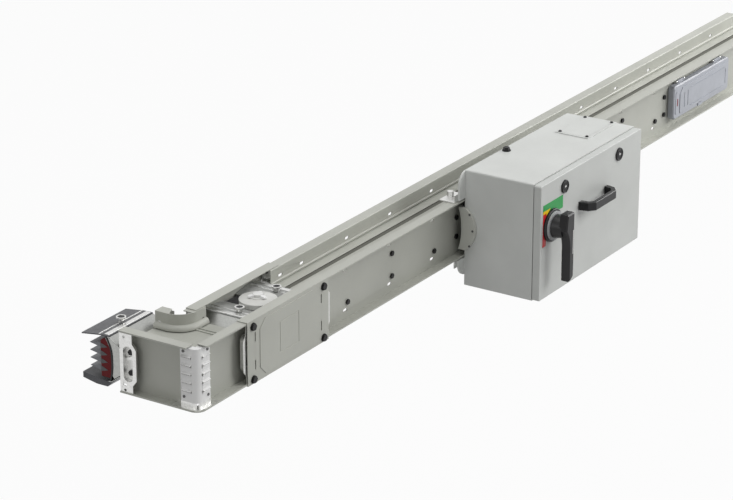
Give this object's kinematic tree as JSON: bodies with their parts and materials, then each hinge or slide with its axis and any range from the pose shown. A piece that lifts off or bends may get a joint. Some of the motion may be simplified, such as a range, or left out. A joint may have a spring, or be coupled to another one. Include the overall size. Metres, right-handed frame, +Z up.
{
  "type": "busbar trunking",
  "caption": "Sandwich busbar trunking run with a covered bolted joint, a horizontal elbow, a plug-on tap-off box with a rotary switch, and a free tap-off outlet.",
  "frame": {"origin": "hanger seat on the run's centreline, level with the underside of its bottom flanges, between the tap-off box and the free outlet", "axes": "+X along the run towards its far end, +Y to its back, away from the tap-off box, +Z up"},
  "size_m": [3.0955, 0.6136, 0.3345],
  "materials": {
    "trunk_paint": "powder coated light warm grey, satin",
    "corner_paint": "powder coated light grey, satin",
    "box_paint": "powder coated light grey, fine texture",
    "galvanised_steel": "galvanised, fairly bright",
    "black_steel": "black coated screws, satin",
    "dark_plate": "dark coated plate, satin",
    "conductor": "tin plated bars, dull",
    "red_insulation": "dark red moulded insulation",
    "dark_insulation": "dark grey moulded insulation",
    "dark_contact": "dark coated contact lips, satin",
    "grey_moulding": "moulded grey plastic",
    "cover_moulding": "moulded blue grey plastic",
    "black_moulding": "moulded black plastic, half gloss",
    "ceramic": "glazed fuse bodies",
    "handle_marking": "green, red and yellow switch marking plate",
    "gasket_rubber": "foamed sealing strip",
    "shaft_steel": "zinc plated square shaft"
  },
  "bodies": {
    "trunking": {"straight_front_channel": "trunk_paint", "straight_rear_channel": "trunk_paint", "straight_top_sheet": "trunk_paint", "straight_bottom_sheet": "trunk_paint", "straight_bars": "conductor", "bar_spacers": "red_insulation", "elbow_front_channel": "trunk_paint", "elbow_leg_channel": "trunk_paint", "elbow_inner_channel": "trunk_paint", "elbow_top_sheet": "trunk_paint", "elbow_bottom_sheet": "trunk_paint", "elbow_bars": "conductor", "corner_louvre_plate": "corner_paint", "corner_gusset": "galvanised_steel", "small_screws": "galvanised_steel", "end_brackets": "galvanised_steel", "bracket_hooks": "galvanised_steel", "channel_screws": "black_steel", "joint_cover_front": "trunk_paint", "joint_cover_rear": "trunk_paint", "joint_cover_screws": "black_steel", "joint_end_sheets": "galvanised_steel", "pressure_plates": "dark_plate", "end_combs": "red_insulation", "spacer_studs": "galvanised_steel", "joint_lips": "dark_contact", "joint_splice_plates": "conductor", "joint_insulators": "dark_insulation", "joint_spring_discs": "galvanised_steel", "joint_bolt": "galvanised_steel", "outlet_frames": "grey_moulding", "outlet_hinge_pins": "galvanised_steel", "box_body": "box_paint", "back_brackets": "box_paint", "side_cheeks": "corner_paint", "flange_clamps": "galvanised_steel", "clamp_bolts": "galvanised_steel", "cable_entry_plate": "box_paint", "box_top_screws": "black_steel", "hinge_body_leaves": "galvanised_steel", "hinge_pins": "galvanised_steel", "mounting_plate": "galvanised_steel", "switch_body": "grey_moulding", "fuse_base": "grey_moulding", "fuse_links": "ceramic", "contact_block": "grey_moulding", "contact_fingers": "conductor"},
    "door": {"door": "box_paint", "door_gasket": "gasket_rubber", "hinge_door_leaves": "galvanised_steel", "grab_handle": "black_moulding", "handle_plate": "handle_marking", "handle_collar": "black_moulding", "handle_ring": "grey_moulding"},
    "lock_left": {"lock_left": "black_moulding"},
    "lock_right": {"lock_right": "black_moulding"},
    "rotary_handle": {"rotary_handle": "black_moulding"},
    "padlock_slide": {"padlock_slide": "galvanised_steel"},
    "switch_shaft": {"switch_shaft": "shaft_steel"},
    "outlet_cover": {"outlet_cover": "cover_moulding"}
  },
  "joints": [
    {"name": "door_hinge", "type": "hinge", "parent": "trunking", "child": "door", "pos_m": [-0.5645, -0.2855, -0.085], "axis": [1, 0, 0], "range_deg": [0, 120]},
    {"name": "lock_left_turn", "type": "hinge", "parent": "door", "child": "lock_left", "pos_m": [-0.7115, -0.3065, 0.198], "axis": [0, 1, 0], "range_deg": [-90, 0]},
    {"name": "lock_right_turn", "type": "hinge", "parent": "door", "child": "lock_right", "pos_m": [-0.423, -0.3065, 0.198], "axis": [0, 1, 0], "range_deg": [-90, 0]},
    {"name": "handle_turn", "type": "hinge", "parent": "door", "child": "rotary_handle", "pos_m": [-0.774, -0.3065, 0.114], "axis": [0, -1, 0], "range_deg": [0, 90]},
    {"name": "padlock_slide_out", "type": "slide", "parent": "rotary_handle", "child": "padlock_slide", "axis": [0, -1, 0], "range_m": [0, 0.0075]},
    {"name": "switch_shaft_turn", "type": "hinge", "parent": "trunking", "child": "switch_shaft", "pos_m": [-0.774, -0.25, 0.114], "axis": [0, -1, 0], "range_deg": [0, 90]},
    {"name": "outlet_cover_hinge", "type": "hinge", "parent": "trunking", "child": "outlet_cover", "pos_m": [0.513, -0.0658, 0.132], "axis": [-1, 0, 0], "range_deg": [0, 90]}
  ],
  "couplings": [
    {"joint": "switch_shaft_turn", "follows": "handle_turn", "ratio": 1}
  ]
}
